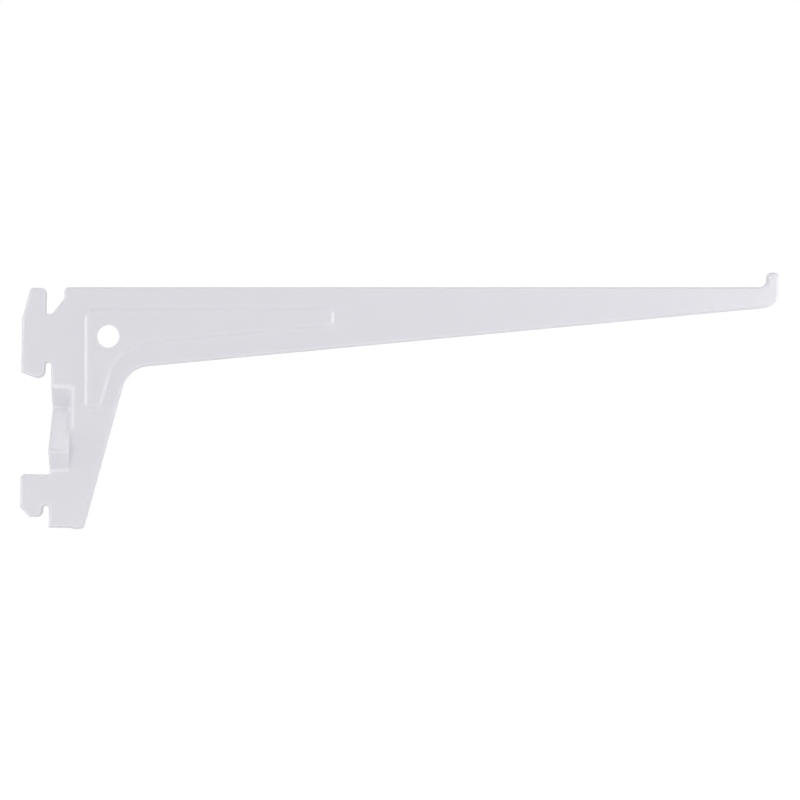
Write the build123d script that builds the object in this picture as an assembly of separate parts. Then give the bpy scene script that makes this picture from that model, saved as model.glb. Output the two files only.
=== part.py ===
from build123d import *
import os
from math import atan2, cos, degrees, radians, sin, tan

# A stamped steel shelf bracket that hangs in the slots of a wall rail.
# X runs out from the wall, Z runs up the plumb rail, and Y = 0 is the middle of the sheet.
# The origin is the seat of the upper hook, on the rail's face. The stiffening panel stands
# out on the front, which is the -Y side. Lengths are in millimetres, angles in degrees.

# Sheet, with the rounded edge that the punch draws in on the front
sheet = 3.0
front_rounding = 1.1
back_rounding = 0.35

# Rail that the hooks fit, and the lift of the arm that the load takes up
hook_pitch = 50.0
slot_width = 2.2
nose_lift_angle = 1.0

# Upper hook, measured from its seat and from the rail's face
upper_reach = 10.5
upper_slant_start = 15.1
upper_slant_run = 2.8
upper_heel_drop = 3.6
upper_tip_drop = 6.6
upper_tip_radius = 2.6
upper_front_radius = 2.0
upper_back_radius = 1.3
upper_top_drop = 0.2

# Lower hook, measured from its seat and from the rail's face
lower_reach = 10.1
lower_top_rise = 10.9
lower_top_chamfer = 1.1
lower_heel_drop = 0.6
lower_heel_run = 3.5
lower_tip_drop = 4.0
lower_tip_radius = 2.2

# Notch between the upper hook and the arm
notch_depth = 9.4
notch_floor_width = 2.15
notch_mouth = 6.3
notch_slope_angle = 53.0
notch_slope_radius = 1.3
notch_corner_radius = 0.7
notch_lip_radius = 1.6

# Arm and its nose, drawn with the top edge level
top_edge_height = 26.3
shelf_depth = 249.6
arm_depth = 30.75
nose_depth = 6.8
nose_width = 4.2
nose_rise = 5.1
nose_corner_radius = 1.5
nose_root_radius = 2.8
nose_chin_radius = 5.7

# Leg, drawn with the top edge level
leg_bottom = 57.65
leg_foot_reach = 11.1
leg_slope_angle = 15.35
toe_width = 4.8
toe_run = 1.5
toe_drop = 0.45
toe_radius = 1.7
inner_radius = 10.0

# Ledge where the rear edge meets the top of the lower hook
ledge_reach = 0.4
ledge_rise = 0.4

# Wave pressed in the rear edge, first to the back as a valley and then to the front as a ridge
wave_top = 6.75
wave_lead_in = 0.1
wave_valley_drop = 7.75
wave_valley_depth = 4.9
wave_ridge_depth = 3.7
wave_ridge_rise = 6.2
wave_lead_out = 0.55
wave_bend_length = 1.25
wave_crease_length = 0.82

# Side of the wave, half sheared from the sheet, which drags it back by a share of its depth.
# The skin that stands out starts to lean sooner than the skin that is hollow.
wave_width = 7.05
crown_lean_start = 3.1
crown_lean = 0.35
hollow_lean_start = 5.3
hollow_lean = 0.42
lean_steepening = 1.6
lean_sections = 2
shear_rounding = 1.4

# Raised stiffening panel, drawn with the top edge level. It ends in the arm and in the leg
# where it has narrowed to its end height and its foot width.
panel_height = 0.9
panel_flank = 1.0
panel_left = 11.75
panel_end_height = 6.5
panel_top_inset = 7.2
panel_foot_width = 5.53
panel_arm_inset = 7.7
panel_leg_inset = 5.1
panel_corner_radius = 2.4
panel_heel_radius = 4.2
panel_bend_radius = 15.5
panel_rounding = 0.6

# Round hole in the panel
hole_radius = 4.0
hole_along = 19.85
hole_height = 9.15
hole_rounding = 0.3


def on_arm(along, up):
    """Turn a point drawn with the top edge level into the rail's frame, nose lifted."""
    lift = radians(nose_lift_angle)
    return along * cos(lift) - up * sin(lift), along * sin(lift) + up * cos(lift)


def crossing(point, heading, other_point, other_heading):
    """Where two lines meet, each given by a point and its heading in degrees."""
    first = Vector(cos(radians(heading)), sin(radians(heading)))
    second = Vector(cos(radians(other_heading)), sin(radians(other_heading)))
    gap = Vector(*other_point) - Vector(*point)
    run = gap.cross(second).Z / first.cross(second).Z
    met = Vector(*point) + first * run
    return met.X, met.Y


def shifted(point, heading, distance):
    """A point moved square to a heading, to its left."""
    turned = radians(heading + 90)
    return point[0] + distance * cos(turned), point[1] + distance * sin(turned)


def rounded(face, corners):
    """Round the corners of a face. Each corner is its place and its radius."""
    for place, radius in corners:
        corner = face.vertices().sort_by_distance((*place, 0))[0]
        face = fillet(corner, radius)
    return face


def arm_lower_line():
    """A point on the arm's lower edge and its heading, drawn with the top edge level."""
    length = shelf_depth + nose_width
    return (length, top_edge_height - nose_depth), degrees(atan2(arm_depth - nose_depth, length))


def leg_front_line():
    """A point on the leg's front edge and its heading, drawn with the top edge level."""
    return (leg_foot_reach, -leg_bottom - toe_drop), 90 - leg_slope_angle


def lower_hook_corners():
    """Corners from the rear edge round the lower hook to the left wall of its slot."""
    top = lower_top_rise - hook_pitch
    tip = -hook_pitch - lower_tip_drop
    return [
        ((0, top + ledge_rise), 0),
        ((-ledge_reach, top), 0),
        ((lower_top_chamfer - lower_reach, top), 0),
        ((-lower_reach, top - lower_top_chamfer), 0),
        ((-lower_reach, -hook_pitch - lower_heel_drop), 0),
        ((lower_heel_run - lower_reach, tip), 0),
        ((-slot_width, tip), lower_tip_radius),
    ]


def arm_corners():
    """Corners from the heel of the leg along the arm and round its nose."""
    toe = -leg_bottom - toe_drop
    toe_start = leg_foot_reach - toe_width
    chin, _ = arm_lower_line()
    outer = shelf_depth + nose_width
    nose_top = top_edge_height + nose_rise
    drawn_level = [
        ((toe_start, -leg_bottom), 0),
        ((toe_start + toe_run, toe), 0),
        ((leg_foot_reach, toe), toe_radius),
        (crossing(*arm_lower_line(), *leg_front_line()), inner_radius),
        (chin, nose_chin_radius),
        ((outer, nose_top), nose_corner_radius),
        ((shelf_depth, nose_top), nose_corner_radius),
        ((shelf_depth, top_edge_height), nose_root_radius),
    ]
    heel = crossing((0, 0), 90, on_arm(0, -leg_bottom), nose_lift_angle)
    return [(heel, 0)] + [(on_arm(*place), radius) for place, radius in drawn_level]


def upper_hook_corners():
    """Corners from the notch over the upper hook to the left wall of its slot."""
    top_edge = (on_arm(0, top_edge_height), nose_lift_angle)
    prong_top = (on_arm(0, top_edge_height - upper_top_drop), nose_lift_angle)
    lip = (notch_mouth - slot_width, 0)
    floor_height = top_edge_height - notch_depth
    floor_end = (notch_floor_width - slot_width, floor_height)
    shoulder = (upper_slant_run - upper_reach, 0)
    return [
        (crossing(lip, 90, *top_edge), notch_lip_radius),
        (crossing(lip, 90, floor_end, notch_slope_angle), notch_slope_radius),
        (floor_end, notch_slope_radius),
        ((-slot_width, floor_height), notch_corner_radius),
        (crossing((-slot_width, 0), 90, *prong_top), upper_front_radius),
        (crossing(shoulder, 90, *prong_top), upper_back_radius),
        ((-upper_reach, upper_slant_start), 0),
        ((-upper_reach, -upper_heel_drop), 0),
        ((-slot_width, -upper_tip_drop), upper_tip_radius),
    ]


def seat(height):
    """Round end of a hook's slot, from its left wall to its right wall."""
    radius = slot_width / 2
    return ThreePointArc((-slot_width, height - radius), (-radius, height), (0, height - radius))


def outline():
    """Outline of the bracket, as a face in X and Z."""
    upper_seat = seat(0)
    lower_seat = seat(-hook_pitch)
    rear = lower_hook_corners()
    front = arm_corners() + upper_hook_corners()
    rear_line = Polyline(upper_seat @ 1, *[place for place, radius in rear], lower_seat @ 0)
    front_line = Polyline(lower_seat @ 1, *[place for place, radius in front], upper_seat @ 0)
    blank = make_face(upper_seat + rear_line + lower_seat + front_line)
    return rounded(blank, [corner for corner in rear + front if corner[1]])


def wave_bottom():
    """How far below the upper seat the wave ends."""
    return hook_pitch - lower_top_rise - ledge_rise


def depth_share(along, lean_start, lean):
    """Share of the wave's depth that a skin has, at a distance from the rail."""
    done = max(along - lean_start, 0) / (wave_width - lean_start)
    return 1 - lean * done ** lean_steepening


def wave_folds(valley_share, ridge_share):
    """Folds in the middle of the sheet, going down, as distances below the seat and depths."""
    bottom = wave_bottom()
    first = wave_top + wave_lead_in + wave_bend_length
    last = bottom - wave_lead_out - wave_bend_length
    return [
        (wave_top, 0),
        (first, 0),
        (first + wave_valley_drop, valley_share * wave_valley_depth),
        (last - wave_ridge_rise, -ridge_share * wave_ridge_depth),
        (last, 0),
        (bottom, 0),
    ]


def wave_skin(along, folds, aside):
    """One skin of the wave, cut across: flat flanks, with wide bends and narrow creases in turn."""
    headings = [atan2(b[1] - a[1], b[0] - a[0]) for a, b in zip(folds, folds[1:])]
    bends_out = aside < 0

    def spot(fold, heading, run, offset):
        drop = fold[0] + run * cos(heading) - offset * sin(heading)
        depth = fold[1] + run * sin(heading) + offset * cos(heading)
        return along, depth, -drop

    reached = spot(folds[0], headings[0], 0, aside)
    edges = []
    for fold, before, after in zip(folds[1:], headings, headings[1:]):
        length = wave_bend_length if bends_out else wave_crease_length
        reach = aside * tan((after - before) / 2)
        enter = spot(fold, before, -reach - length, aside)
        corner = spot(fold, before, -reach, aside)
        leave = spot(fold, after, reach + length, aside)
        edges += [Line(reached, enter), Bezier(enter, corner, leave)]
        reached = leave
        bends_out = not bends_out
    return edges + [Line(reached, spot(folds[-1], headings[-1], 0, aside))]


def wave_skins(along):
    """Front and back skin of the wave, cut across at one distance from the rail."""
    crown = depth_share(along, crown_lean_start, crown_lean)
    hollow = depth_share(along, hollow_lean_start, hollow_lean)
    front = wave_skin(along, wave_folds(hollow, crown), -sheet / 2)
    back = wave_skin(along, wave_folds(crown, hollow), sheet / 2)
    return front, back


def wave_section(along):
    """The wave cut across at one distance from the rail."""
    front, back = wave_skins(along)
    ends = [Line(front[0] @ 0, back[0] @ 0), Line(front[-1] @ 1, back[-1] @ 1)]
    return Face(Wire(front + back + ends))


def wave():
    """The pressed strip at the rear edge, which leans back to the sheet at its sheared side."""
    solid = extrude(wave_section(0), amount=crown_lean_start, dir=(1, 0, 0))
    kinks = [crown_lean_start, hollow_lean_start, wave_width]
    for start, end in zip(kinks, kinks[1:]):
        step = (end - start) / lean_sections
        solid += loft([wave_section(start + step * count) for count in range(lean_sections + 1)])
    return solid


def beside_wave(start, width, front, depth):
    """Block as tall as the wave, from a distance off the rail and from a depth in the sheet."""
    height = wave_bottom() - wave_top
    centre = (start + width / 2, front + depth / 2, -wave_top - height / 2)
    return Pos(*centre) * Box(width, depth, height)


def drawn_in():
    """What the shearing draws in from the rim of the sheet's front, beside the valley."""
    front, _ = wave_skins(wave_width)
    first, last = front[0] @ 0, front[-1] @ 1
    ahead = Vector(0, -sheet, 0)
    closing = [Line(first, first + ahead), Line(first + ahead, last + ahead), Line(last + ahead, last)]
    open_side = extrude(Face(Wire(front + closing)), amount=shear_rounding, dir=(1, 0, 0))
    corner = beside_wave(wave_width, shear_rounding, -sheet, sheet / 2 + shear_rounding)
    axis = Pos(wave_width + shear_rounding, shear_rounding - sheet / 2, -wave_bottom() / 2)
    return open_side & (corner - axis * Cylinder(shear_rounding, 2 * wave_bottom()))


def rim(solid, side):
    """Edges round one skin of the sheet: side is -1 for the front and 1 for the back."""
    faces = solid.faces()
    walls = faces.filter_by(lambda face: abs(face.normal_at().Y) < 0.01)
    skins = faces.filter_by(lambda face: face.normal_at().Y * side > 0.1)
    bounds = set(skins.edges())
    outer = walls.edges().filter_by(lambda edge: edge in bounds)
    return outer.filter_by(lambda edge: abs(edge.center().X - wave_width) > 0.01)


def panel_sides(inset):
    """The panel's sides along the arm and the leg, moved in, each as a point and its heading."""
    arm_point, arm_heading = arm_lower_line()
    leg_point, leg_heading = leg_front_line()
    arm_side = (shifted(arm_point, arm_heading, panel_arm_inset + inset), arm_heading)
    leg_side = (shifted(leg_point, leg_heading, panel_leg_inset + inset), leg_heading)
    return arm_side, leg_side


def panel_ends():
    """Height of the panel's foot in the leg, and reach of its end in the arm."""
    arm_side, leg_side = panel_sides(0)
    end_corner = (0, top_edge_height - panel_top_inset - panel_end_height)
    foot_corner = (panel_left + panel_foot_width, 0)
    return crossing(foot_corner, 90, *leg_side)[1], crossing(end_corner, 0, *arm_side)[0]


def panel_outline(inset, depth):
    """Outline of the panel, moved in by an inset, on a plane behind the middle of the sheet."""
    arm_side, leg_side = panel_sides(inset)
    foot, end = panel_ends()
    left, right = panel_left + inset, end - inset
    bottom, top = foot + inset, top_edge_height - panel_top_inset - inset
    corner_radius = panel_corner_radius - inset
    drawn_level = [
        ((left, bottom), corner_radius),
        (crossing((left, bottom), 0, *leg_side), corner_radius),
        (crossing(*arm_side, *leg_side), panel_bend_radius + inset),
        (crossing(*arm_side, (right, top), 90), corner_radius),
        ((right, top), corner_radius),
        ((left, top), panel_heel_radius - inset),
    ]
    corners = [(on_arm(*place), radius) for place, radius in drawn_level]
    flat = make_face(Polyline([place for place, radius in corners], close=True))
    return (Plane.XZ.offset(-depth) * rounded(flat, corners)).face()


def panel_block(inset, depth):
    """Block with sloping flanks that rises to the front from a plane by the panel's height."""
    foot = panel_outline(inset, depth)
    head = panel_outline(inset + panel_flank, depth - panel_height)
    block = loft([foot, head], ruled=True)
    return fillet(block.faces().sort_by(Axis.Y)[0].edges(), panel_rounding)


def round_foot(solid, inset, depth):
    """Round the edge where the panel's flanks leave a skin of the sheet."""
    places = [edge.center() for edge in panel_outline(inset, depth).edges()]
    found = solid.edges().filter_by(
        lambda edge: any((edge.center() - place).length < 0.01 for place in places)
    )
    return fillet(found, panel_rounding)


def raise_panel(solid):
    """Press the panel out to the front, and leave its hollow in the back."""
    fold_shift = sheet * tan(atan2(panel_height, panel_flank) / 2)
    front = round_foot(solid + panel_block(0, -sheet / 2), 0, -sheet / 2)
    return round_foot(front - panel_block(fold_shift, sheet / 2), fold_shift, sheet / 2)


def punch_hole(solid):
    """Punch the round hole through the panel, its two rims slightly rounded."""
    centre = Plane.XZ * Pos(*on_arm(hole_along, hole_height))
    pierced = solid - extrude(centre * Circle(hole_radius), amount=sheet + panel_height, both=True)
    wall = pierced.faces().sort_by_distance(centre.position)[0]
    return fillet(wall.edges().filter_by(GeomType.CIRCLE), hole_rounding)


def bracket():
    """The whole bracket, pressed from one piece of sheet."""
    blank = extrude(Plane.XZ * outline(), amount=sheet / 2, both=True)
    pressed = blank - beside_wave(0, wave_width, -sheet / 2, sheet) + wave()
    pressed = fillet(rim(pressed, -1), front_rounding)
    pressed = fillet(rim(pressed, 1), back_rounding)
    return punch_hole(raise_panel(pressed - drawn_in()))


os.makedirs("parts", exist_ok=True)
export_step(bracket(), "parts/bracket.step")
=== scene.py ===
from math import cos, radians, sin

import bpy
from mathutils import Matrix, Vector


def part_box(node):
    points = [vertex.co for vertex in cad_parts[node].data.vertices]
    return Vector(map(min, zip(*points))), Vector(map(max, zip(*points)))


# Lengths are in metres, in the frame of the part: X runs out from the wall, Z runs up the rail,
# and the side with the raised panel looks to -Y. Angles are in degrees, and powers in watts.
mm_per_m = 1000

# Camera, square to the sheet and turned about its view by the arm's lift
camera_place = Vector((0.12181, -0.7615, -0.01093))
camera_roll = 1.0
sensor_width = 0.036
focal_length = 0.09815

# Powder coat: faint patches in its colour, a soft orange peel, and a fine grain.
# Each detail is how many finer layers that noise has.
coat_colour = (0.716, 0.708, 0.753)
coat_colour_spread = 0.015
coat_roughness = 0.26
coat_roughness_spread = 0.03
patch_size = 0.012
patch_detail = 3
peel_size = 0.0016
peel_detail = 1
peel_depth = 0.000004
grain_size = 0.00025
grain_detail = 2
grain_depth = 0.000002

# Light from all round, and what the camera and reflections see in its place
white = (1, 1, 1, 1)
world_strength = 0.23
world_seen_strength = 1.0

# Floor below the hanging part, and what the camera and reflections see in its place
floor_drop = 0.42
floor_size = 8.0
floor_roughness = 0.9
floor_grey = 0.8
floor_seen_grey = 0.9
floor_seen_glow = 0.76

# Lamps, each turned to a spot on the part from a direction. Azimuth goes from the camera's side
# towards +X, and elevation goes up from level.
lamp_spot_x = 0.06
lamp_spot_z = -0.01
lamp_distance = 0.75
lamps = {
    "left_softbox": dict(azimuth=-38, elevation=0, width=0.35, height=0.45, power=1.26),
    "far_left_softbox": dict(azimuth=-80, elevation=0, width=0.3, height=0.5, power=1.7),
    "right_softbox": dict(
        spot_x=0.25, distance=0.5, azimuth=30, elevation=5, width=0.35, height=0.45, power=1.2
    ),
    "far_right_softbox": dict(azimuth=85, elevation=0, width=0.3, height=0.5, power=1.9),
    "high_softbox": dict(azimuth=0, elevation=50, width=0.5, height=0.3, power=1.15),
    "top_softbox": dict(azimuth=0, elevation=76, width=0.5, height=0.3, power=0.5),
    "low_strip": dict(azimuth=-10, elevation=-35, width=0.8, height=0.04, power=0.5),
    "back_softbox": dict(
        spot_x=0.12, azimuth=180, elevation=38, width=0.6, height=0.3, power=3.2
    ),
    "glint_card": dict(azimuth=-10, elevation=-24, width=0.8, height=0.3, power=1.8),
}


def add(tree, kind, **settings):
    """Add a node to a tree. Each setting is a property of the node."""
    node = tree.nodes.new(kind)
    for name, value in settings.items():
        setattr(node, name, value)
    return node


def between(tree, value, low, high):
    """Map a value from 0 to 1 to the range from low to high. Gives its output socket."""
    node = add(tree, "ShaderNodeMapRange")
    node.inputs["To Min"].default_value = low
    node.inputs["To Max"].default_value = high
    tree.links.new(value, node.inputs["Value"])
    return node.outputs["Result"]


def noise(tree, place, size, detail):
    """Noise with bumps of about one size. Gives its output socket."""
    node = add(tree, "ShaderNodeTexNoise")
    node.inputs["Scale"].default_value = 1 / size
    node.inputs["Detail"].default_value = detail
    tree.links.new(place, node.inputs["Vector"])
    return node.outputs["Fac"]


def bump(tree, height, depth, normal=None):
    """Bump of a real depth, on top of another bump if one is given. Gives its output socket."""
    node = add(tree, "ShaderNodeBump")
    node.inputs["Distance"].default_value = depth
    tree.links.new(height, node.inputs["Height"])
    if normal:
        tree.links.new(normal, node.inputs["Normal"])
    return node.outputs["Normal"]


def powder_coat():
    """White powder coat: a satin skin with a soft orange peel and a fine grain."""
    material = bpy.data.materials.new("powder_coat")
    material.use_nodes = True
    tree = material.node_tree
    shader = tree.nodes["Principled BSDF"]
    place = add(tree, "ShaderNodeTexCoord").outputs["Object"]
    patches = noise(tree, place, patch_size, patch_detail)
    peel = noise(tree, place, peel_size, peel_detail)
    grain = noise(tree, place, grain_size, grain_detail)

    tint = add(tree, "ShaderNodeVectorMath", operation="SCALE")
    tint.inputs["Vector"].default_value = coat_colour
    tone = between(tree, patches, 1 - coat_colour_spread, 1 + coat_colour_spread)
    tree.links.new(tone, tint.inputs["Scale"])
    tree.links.new(tint.outputs["Vector"], shader.inputs["Base Color"])

    smoothest = coat_roughness - coat_roughness_spread
    roughest = coat_roughness + coat_roughness_spread
    roughness = between(tree, grain, smoothest, roughest)
    tree.links.new(roughness, shader.inputs["Roughness"])

    normal = bump(tree, grain, grain_depth, bump(tree, peel, peel_depth))
    tree.links.new(normal, shader.inputs["Normal"])
    return material


def dress(piece, material):
    """Give a piece one material all over."""
    for slot in piece.material_slots:
        slot.material = material


def add_camera():
    """Camera of the photograph, raised from looking down to level, and then rolled."""
    data = bpy.data.cameras.new("camera")
    data.sensor_width = sensor_width * mm_per_m
    data.lens = focal_length * mm_per_m
    camera = bpy.data.objects.new("camera", data)
    level = Matrix.Rotation(radians(90), 4, "X")
    rolled = Matrix.Rotation(radians(-camera_roll), 4, "Y")
    camera.matrix_world = Matrix.Translation(camera_place) @ rolled @ level
    bpy.context.scene.collection.objects.link(camera)
    bpy.context.scene.camera = camera


def seen(tree):
    """Socket that is 1 where the camera sees, directly, in a reflection or through glass, and
    0 where only light falls."""
    path = add(tree, "ShaderNodeLightPath")
    ray = path.outputs["Is Camera Ray"]
    for name in ("Is Glossy Ray", "Is Transmission Ray"):
        either = add(tree, "ShaderNodeMath", operation="MAXIMUM")
        tree.links.new(ray, either.inputs[0])
        tree.links.new(path.outputs[name], either.inputs[1])
        ray = either.outputs["Value"]
    return ray


def add_world():
    """Even light from all round. The camera and reflections see white."""
    world = bpy.data.worlds.new("world")
    bpy.context.scene.world = world
    world.use_nodes = True
    tree = world.node_tree
    background = tree.nodes["Background"]
    background.inputs["Color"].default_value = white
    strength = between(tree, seen(tree), world_strength, world_seen_strength)
    tree.links.new(strength, background.inputs["Strength"])


def floor_material():
    """Pale floor, which the camera and reflections see as white apart from the shadow on it."""
    material = bpy.data.materials.new("floor")
    material.use_nodes = True
    tree = material.node_tree
    shader = tree.nodes["Principled BSDF"]
    shader.inputs["Roughness"].default_value = floor_roughness
    shader.inputs["Emission Color"].default_value = white
    ray = seen(tree)
    grey = between(tree, ray, floor_grey, floor_seen_grey)
    glow = between(tree, ray, 0, floor_seen_glow)
    tree.links.new(grey, shader.inputs["Base Color"])
    tree.links.new(glow, shader.inputs["Emission Strength"])
    return material


def add_floor():
    """Wide floor below the part."""
    lowest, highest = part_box("bracket")
    middle = (lowest + highest) / 2
    bpy.ops.mesh.primitive_plane_add(
        size=floor_size, location=(middle.x, middle.y, lowest.z - floor_drop)
    )
    floor = bpy.context.object
    floor.name = "floor"
    floor.data.materials.append(floor_material())


def add_lamp(
    name, azimuth, elevation, width, height, power, spot_x=lamp_spot_x, distance=lamp_distance
):
    """Oblong soft light in a direction from a spot on the part, turned to that spot."""
    turn, rise = radians(azimuth), radians(elevation)
    out = Vector((sin(turn) * cos(rise), -cos(turn) * cos(rise), sin(rise)))
    data = bpy.data.lights.new(name, "AREA")
    data.shape = "RECTANGLE"
    data.size = width
    data.size_y = height
    data.energy = power
    lamp = bpy.data.objects.new(name, data)
    lamp.location = Vector((spot_x, 0, lamp_spot_z)) + out * distance
    lamp.rotation_euler = out.to_track_quat("Z", "Y").to_euler()
    bpy.context.scene.collection.objects.link(lamp)
    return lamp


def add_lamps():
    """Softboxes at both sides, high and low in front, and behind, and a card for glints.

    The one behind stays out of reflections, where it would turn the rounded top edges white.
    The card shows only in them.
    """
    added = {name: add_lamp(name, **settings) for name, settings in lamps.items()}
    added["back_softbox"].visible_glossy = False
    added["glint_card"].visible_diffuse = False


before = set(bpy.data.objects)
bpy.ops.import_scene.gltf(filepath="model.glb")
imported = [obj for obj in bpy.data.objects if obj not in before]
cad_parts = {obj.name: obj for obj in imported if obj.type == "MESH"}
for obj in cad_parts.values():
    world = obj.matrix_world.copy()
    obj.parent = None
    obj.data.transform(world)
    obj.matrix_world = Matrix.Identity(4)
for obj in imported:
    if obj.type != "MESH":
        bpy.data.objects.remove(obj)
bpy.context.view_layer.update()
bpy.context.scene.view_settings.view_transform = "Standard"
dress(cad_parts["bracket"], powder_coat())
add_floor()
add_world()
add_lamps()
add_camera()
